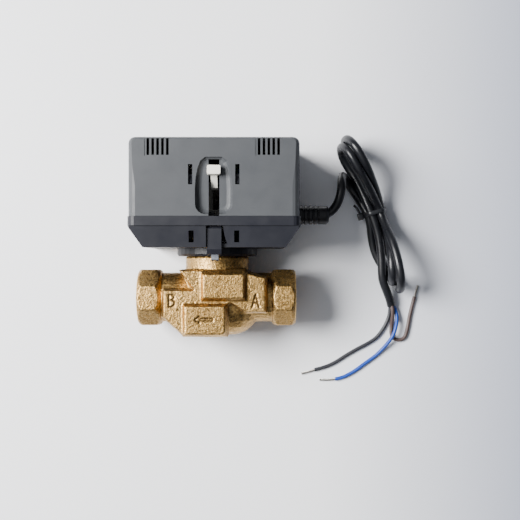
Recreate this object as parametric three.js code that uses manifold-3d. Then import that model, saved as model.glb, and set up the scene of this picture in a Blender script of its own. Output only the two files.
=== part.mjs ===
// A motorized zone-valve actuator locked on its two-port brass valve, lying on its back.
// Millimetres. X runs along the pipe towards port A, Y along the valve stem towards the cover,
// Z up from the surface that the part lies on. Heights along Y are counted from the pipe's axis,
// and the whole assembly is then moved by ORIGIN_Y, so that the origin is below its middle.
import * as THREE from "three";
import { mergeVertices } from "three/addons/utils/BufferGeometryUtils.js";
import Module from "manifold-3d";

const wasm = await Module();
wasm.setup();

// Overall sizes
const STEM_Z = 23.5; // pipe and stem axes, above the back faces
const COVER_TOP_Y = 88.3;
const VALVE_BOTTOM_Y = -22.3;
const ORIGIN_Y = (COVER_TOP_Y + VALVE_BOTTOM_Y) / 2;
const GAP = 0.3; // between pieces that touch

// Actuator case
const CASE_DEPTH = 65;
const CASE_WALL = 2;
const COVER_HALF = 46.4;
const BASE_HALF = 47;
const PARTING_Y = 45.3;
const RIM_Y = 40.3;
const BASE_BOTTOM_Y = 28.5;
const BASE_BOTTOM_HALF = 38.7;
const EDGE_RADIUS = 3.5;
const SLOT_HALF = 2.9; // the manual lever's slot
const SLOT_TOP_Y = 76;

// Valve
const PORT_END_X = 45.5;
const OCTAGON_LENGTH = 13.5;
const OCTAGON_ACROSS_FLATS = 32;
const THREAD_RADIUS = 12.06; // minor radius of the G 3/4 pipe thread
const THREAD_DEPTH = 12;
const WATERWAY_RADIUS = 9.5;
const NECK_RADIUS = 18.25;
const NECK_TOP_Y = 27.7;
const CHAMBER_RADIUS = 10;
const BONNET_RADIUS = 14.5;

// Drive: the arm's pivot, and the gears' pitch sizes
const PIVOT = { y: 59.2, z: 7 };
const ARM_REST_DEG = 10.5; // the arm's lean towards the cover's top at rest
const PIN_REACH = 16.5; // pivot to the pin that carries the stem
const SECTOR = { teeth: 35, module: 0.8 };
const THIRD_PINION = { teeth: 10, module: 0.8 };
const THIRD_WHEEL = { teeth: 32, module: 0.6 };
const SECOND_PINION = { teeth: 10, module: 0.6 };
const SECOND_WHEEL = { teeth: 36, module: 0.5 };
const MOTOR_PINION = { teeth: 12, module: 0.5 };
const LINE_1_DEG = 45; // direction from each gear's axis to the next, from +Z towards +Y
const LINE_2_DEG = -20;
const LINE_3_DEG = -45;
const MOTOR_PLATE_X = [-20.3, -19.3];
const GEAR_PLATE_X = [-8, -7];
const LAYER_2 = [-18.5, -16]; // second wheel and motor pinion
const LAYER_3 = [-15.2, -12.7]; // third wheel and second pinion
const LAYER_4 = [-11.9, -8.9]; // sector and third pinion
const SHAFT_RADIUS = 1;
const PIVOT_PIN_RADIUS = 1.5;

// Mains lead
const GLAND = { y: 48, z: 21 };
const GLAND_END_X = 65.4;
const LEAD_DIAMETER = 5;
const CORE_DIAMETER = 2.2;
const HANK_LENGTH = 101;
const HANK_ANGLE_DEG = -74; // the hank's long direction, from +X
const HANK_CENTRE = { x: 92.6, y: 48.5 };
const HANK_BOW = 1.7; // how far across the tied middle lies
const HANK_BOW_FALL = 0.0021; // per mm squared along the hank, from the middle

const degrees = THREE.MathUtils.degToRad;
const radiusOf = (gear) => (gear.teeth * gear.module) / 2;

// ---------------------------------------------------------------- solids

function volumeOf(position, index) {
  const [a, b, c] = [new THREE.Vector3(), new THREE.Vector3(), new THREE.Vector3()];
  let total = 0;
  for (let i = 0; i < index.length; i += 3) {
    a.fromBufferAttribute(position, index[i]);
    b.fromBufferAttribute(position, index[i + 1]);
    c.fromBufferAttribute(position, index[i + 2]);
    total += a.dot(b.cross(c)) / 6;
  }
  return total;
}

// A closed three.js geometry as a solid that can be joined and cut.
function solidOf(geometry) {
  const plain = new THREE.BufferGeometry();
  plain.setAttribute("position", geometry.getAttribute("position"));
  if (geometry.index) plain.setIndex(geometry.index);
  const merged = mergeVertices(plain, 1e-4);
  const position = merged.getAttribute("position");
  const index = Uint32Array.from(merged.index.array);
  if (volumeOf(position, index) < 0) index.reverse();
  return new wasm.Manifold(
    new wasm.Mesh({
      numProp: 3,
      vertProperties: Float32Array.from(position.array),
      triVerts: index,
    }),
  );
}

function geometryOf(solid) {
  const mesh = solid.getMesh();
  const geometry = new THREE.BufferGeometry();
  geometry.setAttribute("position", new THREE.BufferAttribute(mesh.vertProperties, 3));
  geometry.setIndex(new THREE.BufferAttribute(mesh.triVerts, 1));
  geometry.computeVertexNormals();
  return geometry;
}

const join = (...solids) => solids.reduce((a, b) => a.add(b));
const cut = (solid, ...tools) => tools.reduce((a, b) => a.subtract(b), solid);
const common = (...solids) => solids.reduce((a, b) => a.intersect(b));

// An outline's plane is (x, y) for a prism along z, (y, z) along x and (z, x) along y.
const AXES = {
  x: [new THREE.Vector3(0, 1, 0), new THREE.Vector3(0, 0, 1), new THREE.Vector3(1, 0, 0)],
  y: [new THREE.Vector3(0, 0, 1), new THREE.Vector3(1, 0, 0), new THREE.Vector3(0, 1, 0)],
  z: [new THREE.Vector3(1, 0, 0), new THREE.Vector3(0, 1, 0), new THREE.Vector3(0, 0, 1)],
};

function prism(axis, outline, from, to, bevel = {}) {
  const shape = new THREE.Shape(outline.map(([u, v]) => new THREE.Vector2(u, v)));
  const options = { depth: to - from, steps: 1, bevelEnabled: false, ...bevel };
  const geometry = new THREE.ExtrudeGeometry(shape, options);
  geometry.translate(0, 0, from);
  geometry.applyMatrix4(new THREE.Matrix4().makeBasis(...AXES[axis]));
  return solidOf(geometry);
}

function box([x0, x1], [y0, y1], [z0, z1]) {
  const geometry = new THREE.BoxGeometry(x1 - x0, y1 - y0, z1 - z0);
  geometry.translate((x0 + x1) / 2, (y0 + y1) / 2, (z0 + z1) / 2);
  return solidOf(geometry);
}

function arc(u, v, radius, startDeg, endDeg, steps) {
  const points = [];
  for (let i = 0; i <= steps; i++) {
    const angle = degrees(startDeg + ((endDeg - startDeg) * i) / steps);
    points.push([u + radius * Math.cos(angle), v + radius * Math.sin(angle)]);
  }
  return points;
}

const circle = (u, v, radius, sides) => arc(u, v, radius, 0, 360 * (1 - 1 / sides), sides - 1);

function rod(axis, radius, from, to, u = 0, v = 0, sides = 20) {
  return prism(axis, circle(u, v, radius, sides), from, to);
}

function roundedRectangle([u0, u1], [v0, v1], radius, steps = 3) {
  return [
    ...arc(u1 - radius, v1 - radius, radius, 0, 90, steps),
    ...arc(u0 + radius, v1 - radius, radius, 90, 180, steps),
    ...arc(u0 + radius, v0 + radius, radius, 180, 270, steps),
    ...arc(u1 - radius, v0 + radius, radius, 270, 360, steps),
  ];
}

// A body of revolution about an axis through the origin, from [radius, height] pairs.
function turned(axis, profile, sides = 32) {
  const points = profile.map(([r, h]) => new THREE.Vector2(r, h));
  const geometry = new THREE.LatheGeometry(points, sides);
  if (axis === "x") geometry.rotateZ(-Math.PI / 2);
  if (axis === "z") geometry.rotateX(Math.PI / 2);
  return solidOf(geometry);
}

// A ring about an axis: bore and outer radius between two heights.
function ring(axis, bore, outer, from, to, sides = 32) {
  const profile = [
    [bore, from],
    [outer, from],
    [outer, to],
    [bore, to],
    [bore, from],
  ];
  return turned(axis, profile, sides);
}

// ---------------------------------------------------------------- materials

const finish = (color, roughness, metalness = 0) =>
  new THREE.MeshStandardMaterial({ color, roughness, metalness });

const coverGrey = finish(0x7f8587, 0.5);
const baseSlate = finish(0x3d3e47, 0.5);
const brass = finish(0xc39a4e, 0.45, 0.9);
const steel = finish(0xb9bcc0, 0.3, 1);
const leverWhite = finish(0xe4e1d6, 0.45);
const blackRubber = finish(0x17181c, 0.4);
const blueCore = finish(0x1f4fb0, 0.4);
const brownCore = finish(0x4a3028, 0.4);
const gearWhite = finish(0xe8e6dc, 0.5);
const cageGrey = finish(0x4c4f55, 0.5);
const copper = finish(0xb06a3a, 0.4, 0.9);
const boardGreen = finish(0x2c6b45, 0.5);
const partBlack = finish(0x1c1d20, 0.45);
const relayBlue = finish(0x2a4f9c, 0.4);
const magnetGrey = finish(0x34363a, 0.6, 0.3);

const assembly = new THREE.Group();
assembly.position.y = -ORIGIN_Y;

function add(parent, name, solid, material) {
  const mesh = new THREE.Mesh(geometryOf(solid), material);
  mesh.name = name;
  parent.add(mesh);
  return mesh;
}

function groupAt(parent, x, y, z) {
  const group = new THREE.Group();
  group.position.set(x, y, z);
  parent.add(group);
  return group;
}

// ---------------------------------------------------------------- case

const glandNotch = () => rod("x", 4.6, 43, 48, GLAND.y, GLAND.z, 24);

function coverShell() {
  const bevel = {
    bevelEnabled: true,
    bevelThickness: EDGE_RADIUS,
    bevelSize: EDGE_RADIUS,
    bevelOffset: -EDGE_RADIUS,
    bevelSegments: 4,
  };
  const section = roundedRectangle([0, CASE_DEPTH], [-COVER_HALF, COVER_HALF], 4, 4);
  const block = prism("y", section, 30, COVER_TOP_Y - EDGE_RADIUS, bevel);
  const above = box([-60, 60], [PARTING_Y + 0.1, 100], [-5, 80]);
  const inside = roundedRectangle(
    [CASE_WALL, CASE_DEPTH - CASE_WALL],
    [CASE_WALL - COVER_HALF, COVER_HALF - CASE_WALL],
    2.4,
    2,
  );
  const hollow = prism("y", inside, 40, COVER_TOP_Y - CASE_WALL);
  const lean = prism("x", [[61.7, CASE_DEPTH], [100, 64], [100, 80], [61.7, 80]], -60, 60);
  const scoopPan = box([-10.1, 10.1], [PARTING_Y + 0.1, 78.5], [59.4, 64]);
  return cut(join(cut(common(block, above), hollow), scoopPan), lean);
}

// The shallow scoop round the lever's slot: rounded walls, and a floor that deepens towards the base.
function leverScoop() {
  const outline = [
    ...arc(-4.4, 8.2, 2.4, 180, 270, 4),
    ...arc(4.4, 8.2, 2.4, 270, 360, 4),
    [6.9, 16],
    [6.6, 22],
    [5.9, 26.5],
    [4.8, 29.6],
    [3.6, 30.6],
    [-3.6, 30.6],
    [-4.8, 29.6],
    [-5.9, 26.5],
    [-6.6, 22],
    [-6.9, 16],
  ];
  const depth = 4.2;
  const bevel = {
    bevelEnabled: true,
    bevelThickness: depth,
    bevelSize: 3.4,
    bevelSegments: 5,
  };
  const bowl = geometryOf(prism("z", outline, depth, 12, bevel));
  bowl.rotateX(degrees(3.2));
  bowl.translate(0, 44, 61);
  return solidOf(bowl);
}

function ventSlots() {
  const slots = [];
  const pitch = 2.63;
  for (const first of [-35.5, 24.4]) {
    for (let i = 0; i < 5; i++) {
      const x = first + i * pitch;
      slots.push(box([x - 0.7, x + 0.7], [78.2, 87.3], [61, 70]));
    }
    slots.push(box([first - 1.9, first - 1.6], [77.8, 87.3], [64, 70]));
  }
  return slots;
}

function cover() {
  const windows = [-1, 1].map((side) => {
    const x = side * 12.7;
    return box([x - 1.15, x + 1.15], [62.3, 73.2], [60, 70]);
  });
  const slot = box([-SLOT_HALF, SLOT_HALF], [40, SLOT_TOP_Y], [58, 70]);
  return cut(coverShell(), leverScoop(), slot, ...windows, ...ventSlots(), glandNotch());
}

// The tray's outer form is what three outlines, seen from the front, side and top, share.
function trayForm(inset, top) {
  const front = prism(
    "z",
    [
      [-BASE_HALF + inset, top],
      [-BASE_HALF + inset, RIM_Y],
      [-BASE_BOTTOM_HALF + inset, BASE_BOTTOM_Y + inset],
      [BASE_BOTTOM_HALF - inset, BASE_BOTTOM_Y + inset],
      [BASE_HALF - inset, RIM_Y],
      [BASE_HALF - inset, top],
    ],
    -1,
    70,
  );
  const side = prism(
    "x",
    [
      [20, inset],
      [60, inset],
      [60, CASE_DEPTH - inset],
      [RIM_Y, CASE_DEPTH - inset],
      [RIM_Y, CASE_DEPTH - inset - 1],
      [BASE_BOTTOM_Y, CASE_DEPTH - inset - 2.4],
      [20, CASE_DEPTH - inset - 2.4],
    ],
    -60,
    60,
  );
  const width = BASE_HALF - inset;
  const radius = Math.max(4 - inset, 2);
  const plan = roundedRectangle([inset, CASE_DEPTH - inset], [-width, width], radius, 4);
  return common(front, side, prism("y", plan, 20, 60));
}

function baseLip() {
  const outer = roundedRectangle([2.4, 62.6], [-44, 44], 2, 2);
  const inner = roundedRectangle([3.8, 61.2], [-42.6, 42.6], 1.5, 2);
  const ledge = roundedRectangle([1.5, 63.5], [-45.5, 45.5], 2.5, 2);
  return cut(
    join(prism("y", outer, 43.5, 47.6), prism("y", ledge, 43, 44.8)),
    prism("y", inner, 39, 48),
    box([-10.5, 10.5], [39, 49], [50, 70]),
    rod("x", 6.8, 40, 44.3, GLAND.y, GLAND.z, 16),
  );
}

// Two hooks on tongues that reach up behind the cover's windows.
function snapTongue(side) {
  const x = side * 12.7;
  return join(
    box([x - 2.2, x + 2.2], [41, 68], [60.9, 62.5]),
    prism("x", [[63.2, 62], [68, 62], [63.2, 63.9]], x - 0.8, x + 0.8),
  );
}

function base() {
  const shell = cut(trayForm(0, PARTING_Y), trayForm(CASE_WALL, PARTING_Y + 3));
  const floor = box([-36, 36], [29, 30.5], [1, 61]);
  const pivotPost = cut(
    join(box([3.6, 6.2], [34.4, 63.5], [2.4, 12]), box([3.6, 6.2], [34.4, 45], [1.5, 3])),
    rod("x", PIVOT_PIN_RADIUS + GAP, 3, 7, PIVOT.y, PIVOT.z),
  );
  const boardLedges = [23, 34].map((x) => box([x - 2, x + 2], [29.5, 33.6], [5.5, 12]));
  const windows = [-12.3, 12.3].map((x) => box([x - 1.35, x + 1.35], [31.2, 37.5], [58, 70]));
  const relief = prism(
    "z",
    [[4.2, 40.1], [4.2, 27], [8.6, 27], [6.9, 31], [5.7, 35], [5, 40.1]],
    59.5,
    70,
  );
  const latchNotch = box([-4.3, 4.3], [27, RIM_Y], [47.5, 70]);
  const collarHole = rod("y", 20.6, 27, 32, STEM_Z, 0, 40);
  const solid = join(shell, floor, baseLip(), snapTongue(-1), snapTongue(1), ...boardLedges);
  const holed = cut(solid, relief, latchNotch, collarHole, glandNotch(), ...windows);
  return join(holed, pivotPost);
}

// ---------------------------------------------------------------- bayonet and latch

function bayonetCollar() {
  const body = turned("y", [
    [18.75, 23.8],
    [22.6, 23.8],
    [23.25, 25],
    [23.25, 28.2],
    [20.3, 28.2],
    [20.3, 31.2],
    [19.3, 31.2],
    [19.3, 32.2],
    [20.3, 32.2],
    [20.3, 33.4],
    [17.5, 33.4],
    [17.5, 28.1],
    [20.9, 28.1],
    [20.9, 25.4],
    [18.75, 25.4],
    [18.75, 23.8],
  ], 36);
  const entries = [];
  for (let quarter = 0; quarter < 4; quarter++) {
    const middle = 90 * quarter;
    const sector = [[0, 0], ...arc(0, 0, 20.9, middle - 21, middle + 21, 6)];
    entries.push(prism("y", sector, 23, 26));
  }
  const bore = rod("y", 18.75, 22, 27, 0, 0, 36);
  const footNotch = box([-2.5, 2.5], [23, 25.4], [17, 25]);
  return cut(body, ...entries.map((entry) => entry.subtract(bore)), footNotch);
}

function collarClip() {
  const clip = ring("y", 19.7, 21.3, 31.5, 31.9, 30);
  return cut(clip, box([-3, 3], [31, 33], [15, 24]));
}

function latchHousing() {
  const block = prism(
    "x",
    [[24.6, 47.8], [40, 47.8], [40, 61.6], [38.6, 62.6], [27.4, 61.6], [24.6, 60.2]],
    -4,
    4,
  );
  const chimney = box([-2.4, 2.4], [20, 34.6], [50.4, 54]);
  return cut(block, chimney);
}

function lockTongue() {
  const outline = [
    [21.2, 52.9],
    [21.2, STEM_Z + 20.9],
    [22.3, STEM_Z + 20.9],
    [22.3, 51.2],
    [31.4, 51.2],
    [31.4, 53.4],
    [21.8, 53.4],
  ];
  return prism("x", outline, -2, 2);
}

// ---------------------------------------------------------------- drive

// A spur gear's outline round the origin: thin teeth, so that a pair turns with backlash.
function gearOutline({ teeth, module }, firstDeg, count = teeth) {
  const pitch = (teeth * module) / 2;
  const step = 360 / teeth;
  const radii = [pitch - 1.25 * module, pitch + 0.85 * module];
  const halves = [0.3, 0.11].map((share) => share * step);
  const points = [];
  for (let i = 0; i < count; i++) {
    const middle = firstDeg + i * step;
    for (const [k, sign] of [[0, -1], [1, -1], [1, 1], [0, 1]]) {
      const angle = degrees(middle + sign * halves[k]);
      points.push([radii[k] * Math.cos(angle), radii[k] * Math.sin(angle)]);
    }
  }
  return points;
}

// Angles in a gear's own plane run from +Y towards +Z, so a line from +Z towards +Y is turned.
const planeAngle = (lineDeg) => 90 - lineDeg;

function nextAxis(from, lineDeg, first, second) {
  const distance = radiusOf(first) + radiusOf(second);
  return {
    y: from.y + distance * Math.sin(degrees(lineDeg)),
    z: from.z + distance * Math.cos(degrees(lineDeg)),
  };
}

const THIRD_AXIS = nextAxis(PIVOT, LINE_1_DEG, SECTOR, THIRD_PINION);
const SECOND_AXIS = nextAxis(THIRD_AXIS, LINE_2_DEG, THIRD_WHEEL, SECOND_PINION);
const MOTOR_AXIS = nextAxis(SECOND_AXIS, LINE_3_DEG, SECOND_WHEEL, MOTOR_PINION);

// A driving gear has a tooth on the line to the next axis, and the driven one a gap there.
const toothOn = (lineDeg) => planeAngle(lineDeg);
const gapOn = (gear, lineDeg) => planeAngle(lineDeg) + 180 + 180 / gear.teeth;

function driveArm() {
  const hub = rod("x", 4.4, LAYER_4[0], 3);
  const lever = prism("x", [[-2.2, 2], [2.2, 2], [1.7, 58], [-1.7, 58]], -1.75, 1.75);
  const neck = prism("x", [[-1, 40], [-1, 58], [-7.5, 50.4], [-7.5, 46]], -1.75, 1.75);
  const head = prism("z", roundedRectangle([-3.6, 3.6], [-2.45, 2.45], 0.7, 2), 57.6, 60.4);
  const pin = rod("x", 1.5, -4.9, 4.9, 0, PIN_REACH, 16);
  const step = 360 / SECTOR.teeth;
  // The arm leans back by its rest angle, so the sector is drawn that much further round.
  const first = toothOn(LINE_1_DEG) + ARM_REST_DEG - 3 * step;
  const teeth = gearOutline(SECTOR, first, 5);
  const fan = prism("x", [[0, 0], ...teeth], ...LAYER_4);
  const bore = rod("x", PIVOT_PIN_RADIUS + 0.35, LAYER_4[0] - 1, 4);
  return cut(join(hub, lever, neck, head, pin, fan), bore);
}

function twoGear(wheel, wheelSpan, wheelFirst, pinion, pinionSpan, pinionFirst) {
  const span = [Math.min(wheelSpan[0], pinionSpan[0]), Math.max(wheelSpan[1], pinionSpan[1])];
  const hub = rod("x", radiusOf(pinion) * 0.66, span[0], span[1], 0, 0, 16);
  const wheelDisc = prism("x", gearOutline(wheel, wheelFirst), ...wheelSpan);
  const pinionTeeth = prism("x", gearOutline(pinion, pinionFirst), ...pinionSpan);
  const bore = rod("x", SHAFT_RADIUS + GAP, span[0] - 1, span[1] + 1, 0, 0, 16);
  return cut(join(hub, wheelDisc, pinionTeeth), bore);
}

const thirdGear = () =>
  twoGear(
    THIRD_WHEEL,
    LAYER_3,
    toothOn(LINE_2_DEG),
    THIRD_PINION,
    [LAYER_3[1] - 0.1, LAYER_4[1]],
    gapOn(THIRD_PINION, LINE_1_DEG),
  );

const secondGear = () =>
  twoGear(
    SECOND_WHEEL,
    LAYER_2,
    toothOn(LINE_3_DEG),
    SECOND_PINION,
    [LAYER_2[1] - 0.1, LAYER_3[1]],
    gapOn(SECOND_PINION, LINE_2_DEG),
  );

function motorPinion() {
  const teeth = prism("x", gearOutline(MOTOR_PINION, gapOn(MOTOR_PINION, LINE_3_DEG)), ...LAYER_2);
  return join(teeth, rod("x", SHAFT_RADIUS, -40.4, LAYER_2[1], 0, 0, 12));
}

const motorRotor = () => ring("x", SHAFT_RADIUS + GAP, 7.4, -39.4, -25.4, 20);
const motorCoil = () => ring("x", 8.2, 13.1, -40.4, -23.2, 24);
const motorCan = () =>
  cut(rod("x", 14.5, -42.2, -22, 0, 0, 28), rod("x", 13.5, -41.2, -21, 0, 0, 28));
const motorCap = () => ring("x", 1.6, 14.3, -21.7, -20.7, 28);

const POSTS = [{ y: 80.5, z: 7 }, { y: 80.5, z: 41 }, { y: 52.5, z: 30 }];

function motorPlate() {
  const outline = [[34, 9], [39, 4.2], [83, 4.2], [83, 52], [76, 57], [44, 57], [34, 40]];
  const holes = [
    rod("x", PIVOT_PIN_RADIUS + GAP, -22, -18, PIVOT.y, PIVOT.z, 16),
    rod("x", SHAFT_RADIUS + GAP, -22, -18, THIRD_AXIS.y, THIRD_AXIS.z, 12),
    rod("x", SHAFT_RADIUS + GAP, -22, -18, SECOND_AXIS.y, SECOND_AXIS.z, 12),
    rod("x", 4, -22, -18, MOTOR_AXIS.y, MOTOR_AXIS.z, 20),
  ];
  return cut(prism("x", outline, ...MOTOR_PLATE_X), ...holes);
}

function gearPlate() {
  const outline = [[50, 4.2], [84, 4.2], [84, 50], [42.2, 50], [42.2, 33], [50, 27]];
  const holes = [
    rod("x", 5, -9, -6, PIVOT.y, PIVOT.z, 20),
    rod("x", SHAFT_RADIUS + GAP, -9, -6, THIRD_AXIS.y, THIRD_AXIS.z, 12),
    rod("x", SHAFT_RADIUS + GAP, -9, -6, SECOND_AXIS.y, SECOND_AXIS.z, 12),
  ];
  return cut(prism("x", outline, ...GEAR_PLATE_X), ...holes);
}

const platePost = () => rod("x", 1.8, MOTOR_PLATE_X[1] + GAP, GEAR_PLATE_X[0] - GAP, 0, 0, 12);
const pivotPin = () => rod("x", PIVOT_PIN_RADIUS, -20.9, 6.6, 0, 0, 16);
const gearShaft = () => rod("x", SHAFT_RADIUS, -20.6, -6.6, 0, 0, 12);

// A snap-action end switch with its button on the side that the lever comes to.
function endSwitch(buttonSide) {
  const body = box([-6.6, -0.8], [-3.25, 3.25], [-6.4, 6.4]);
  const buttonY = buttonSide > 0 ? [3, 3.8] : [-3.8, -3];
  const button = box([-4.6, -2.8], buttonY, [-2.4, -0.8]);
  const holes = [-3.4, 3.4].map((z) => rod("x", 0.9, -8, 0, 0, z, 10));
  return cut(join(body, button), ...holes);
}

function stemCarriage() {
  const cheeks = box([-5.5, 5.5], [48.5, 67], [-5.5, 5.5]);
  const shank = rod("y", 6.5, 38.5, 49, 0, 0, 28);
  const leverGap = box([-2.3, 2.3], [50.5, 70], [-8, 8]);
  const pinY = PIVOT.y + PIN_REACH * Math.sin(degrees(ARM_REST_DEG));
  const pinSlot = prism("x", roundedRectangle([pinY - 1.8, pinY + 1.8], [-2.5, 2.3], 1.7), -8, 8);
  const headPocket = box([-4.1, 4.1], [43.3, 47.5], [-4.1, 8]);
  const neckPocket = box([-2.6, 2.6], [38, 44], [-2.6, 8]);
  return cut(join(cheeks, shank), leverGap, pinSlot, headPocket, neckPocket);
}

function guideBridge() {
  const bridge = join(
    box([-16, 16], [39.6, 41.8], [13.5, 33]),
    box([-16, -13.5], [33.9, 41], [15, 32]),
    box([13.5, 16], [33.9, 41], [15, 32]),
  );
  return cut(bridge, rod("y", 6.85, 38, 43, STEM_Z, 0, 28));
}

// ---------------------------------------------------------------- electrics

const circuitBoard = () => box([9, 38.6], [34, 80], [8, 9.6]);
const relay = () => box([12, 27], [56, 75], [9.9, 25]);
const capacitor = () => turned("z", [[0, 9.9], [5, 9.9], [5, 25], [4.4, 25.6], [0, 25.6]], 20);

function terminalBlock() {
  const block = box([27, 38], [40.5, 55.5], [9.9, 17.5]);
  const entries = [43.3, 48, 52.7].map((y) => box([35, 39], [y - 1.6, y + 1.6], [11.5, 15]));
  const screws = [43.3, 48, 52.7].map((y) => rod("z", 1.5, 14.5, 18, 31, y, 10));
  return cut(block, ...entries, ...screws);
}

const innerLead = () => rod("x", 2.4, 31, 42.2, 0, 0, 12);

// The strain relief: a flange behind the case's wall, a waist in it and a ribbed tapered tail.
function cableGland() {
  const profile = [
    [2.75, 42.6],
    [6.3, 42.6],
    [6.3, 44],
    [4.2, 44],
    [4.2, 47.4],
    [5.6, 47.4],
  ];
  for (const [start, radius] of [[49.8, 5.6], [52.6, 5.5], [55.4, 5.5], [58.2, 5.4]]) {
    profile.push([radius, start], [radius - 0.7, start + 0.3]);
    profile.push([radius - 0.7, start + 0.9], [radius, start + 1.2]);
  }
  profile.push([5.5, 60.4], [5.4, GLAND_END_X - 1.4], [3.9, GLAND_END_X]);
  profile.push([2.75, GLAND_END_X], [2.75, 42.6]);
  return turned("x", profile, 20);
}

// ---------------------------------------------------------------- valve, about its axes' crossing

function octagonEnd(side) {
  const across = OCTAGON_ACROSS_FLATS / 2 / Math.cos(Math.PI / 8);
  const inner = PORT_END_X - OCTAGON_LENGTH;
  const flats = prism("x", circle(0, 0, across, 8), inner, PORT_END_X);
  const turnedFlats = rotated(flats, "x", 22.5);
  const cone = turned("x", [
    [0, inner],
    [15.2, inner],
    [across, inner + 2.6],
    [across, PORT_END_X - 2.6],
    [15.2, PORT_END_X],
    [0, PORT_END_X],
  ], 40);
  const end = common(turnedFlats, cone);
  return side > 0 ? end : rotated(end, "y", 180);
}

function rotated(solid, axis, angleDeg) {
  const geometry = geometryOf(solid);
  const turn = degrees(angleDeg);
  if (axis === "x") geometry.rotateX(turn);
  if (axis === "y") geometry.rotateY(turn);
  return solidOf(geometry);
}

function ball(radius, x, y) {
  const geometry = new THREE.SphereGeometry(radius, 24, 12);
  geometry.translate(x, y, 0);
  return solidOf(geometry);
}

// The flat slab that carries the port marks, and the raised pads on it, front and back alike.
function slabAndPads() {
  const slab = [
    [-29.2, 4.3],
    [-29.2, -10.6],
    [-21.4, -17.4],
    [-17.8, -20.8],
    [5.8, -20.8],
    [5.8, -4.4],
    [8, -2],
    [17, -7.4],
    [27.7, -7.4],
    [27.7, 11.2],
    [18.6, 13.6],
    [16.4, 15.4],
    [-19.8, 15.4],
    [-11.5, 4.3],
  ];
  const lower = [[-17.1, -4.5], [-17.1, -19.9], ...arc(3.2, -17.9, 2, 270, 360, 3), [5.2, -4.5]];
  const upper = [[-6.8, 0.2], [15.8, 0.2], [15.8, 13.4], [-6.8, 13.4]];
  const draft = (height, size) => ({
    bevelEnabled: true,
    bevelThickness: height,
    bevelSize: size,
    bevelSegments: 1,
  });
  const slabEdge = 20.3 - 4;
  const padEdge = STEM_Z - 3.6;
  return join(
    prism("z", slab, -slabEdge, slabEdge, draft(4, 1.1)),
    prism("z", lower, -padEdge, padEdge, draft(3.6, 1.7)),
    prism("z", upper, -padEdge, padEdge, draft(3.6, 1.7)),
  );
}

function bayonetLugs() {
  const lugs = [];
  for (let quarter = 0; quarter < 4; quarter++) {
    const middle = 90 * quarter + 45;
    const sector = [
      ...arc(0, 0, 20.4, middle - 18, middle + 18, 6),
      ...arc(0, 0, 16.5, middle + 18, middle - 18, 6),
    ];
    lugs.push(prism("y", sector, 25.8, NECK_TOP_Y));
  }
  return lugs;
}

function valveBody() {
  const chamber = turned("y", [
    [0, VALVE_BOTTOM_Y],
    [10.6, VALVE_BOTTOM_Y],
    [12.6, VALVE_BOTTOM_Y + 0.8],
    [13.4, VALVE_BOTTOM_Y + 2.6],
    [13.4, 4],
    [0, 4],
  ], 32);
  const shoulder = turned("y", [
    [0, -4],
    [19.6, -4],
    [20.4, 12],
    [19.4, 15],
    [NECK_RADIUS, 15.6],
    [NECK_RADIUS, 23],
    [17.6, 23.2],
    [17.6, NECK_TOP_Y],
    [0, NECK_TOP_Y],
  ], 40);
  const chamberGeometry = geometryOf(chamber).translate(-7, 0, 0);
  const outside = join(
    octagonEnd(1),
    octagonEnd(-1),
    rod("x", 14.2, -34, 34, 0, 0, 32),
    slabAndPads(),
    shoulder,
    solidOf(chamberGeometry),
    ball(17.5, 8, -4.4),
    ...bayonetLugs(),
  );
  const sockets = [1, -1].map((side) => {
    const socket = turned("x", [
      [0, PORT_END_X + 1],
      [THREAD_RADIUS + 2.4, PORT_END_X + 1],
      [THREAD_RADIUS, PORT_END_X - 1.4],
      [THREAD_RADIUS, PORT_END_X - THREAD_DEPTH],
      [WATERWAY_RADIUS, PORT_END_X - THREAD_DEPTH - 2.5],
      [WATERWAY_RADIUS, 4],
      [0, 4],
    ], 32);
    return side > 0 ? socket : rotated(socket, "y", 180);
  });
  return cut(
    outside,
    rod("y", CHAMBER_RADIUS, -14, 30, 0, 0, 32),
    rod("y", BONNET_RADIUS, 12, 30, 0, 0, 36),
    ...sockets,
  );
}

function cartridgeCage() {
  const tube = turned("y", [
    [7.7, -13.6],
    [9.6, -13.6],
    [9.6, 12.3],
    [14.1, 12.3],
    [14.1, 13.9],
    [7.7, 13.9],
    [7.7, -13.6],
  ], 28);
  const windows = box([-12, 12], [-7, 6.4], [-5.2, 5.2]);
  const sealGroove = ring("y", 8.6, 11, 8.2, 10.2, 28);
  return cut(tube, windows, sealGroove);
}

const cageSeal = () => ring("y", 8.8, 9.75, 8.5, 9.9, 28);
const bonnetNut = () =>
  cut(
    turned("y", [
      [2.4, 18.6],
      [9.5, 18.6],
      [9.5, 14.3],
      [14.1, 14.3],
      [14.1, 24.4],
      [10.5, 27],
      [2.4, 27],
      [2.4, 18.6],
    ], 28),
    ring("y", 1.8, 3.9, 21, 23.2, 20),
  );
const stemSeal = () => ring("y", 2.35, 3.6, 21.3, 22.9, 20);

const stem = () =>
  turned("y", [
    [0, -4.4],
    [2, -4.4],
    [2, 43.8],
    [3.7, 43.8],
    [3.7, 46.2],
    [2.9, 47.1],
    [0, 47.1],
  ], 18);

const piston = () =>
  turned("y", [
    [2.3, -6.4],
    [7.3, -6.4],
    [7.3, 0.6],
    [6.3, 0.6],
    [6.3, 2.6],
    [7.3, 2.6],
    [7.3, 5.4],
    [2.3, 5.4],
    [2.3, -6.4],
  ], 24);

const pistonSeal = () => ring("y", 6.6, 7.45, 0.9, 2.3, 24);

// ---------------------------------------------------------------- mains lead

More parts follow.
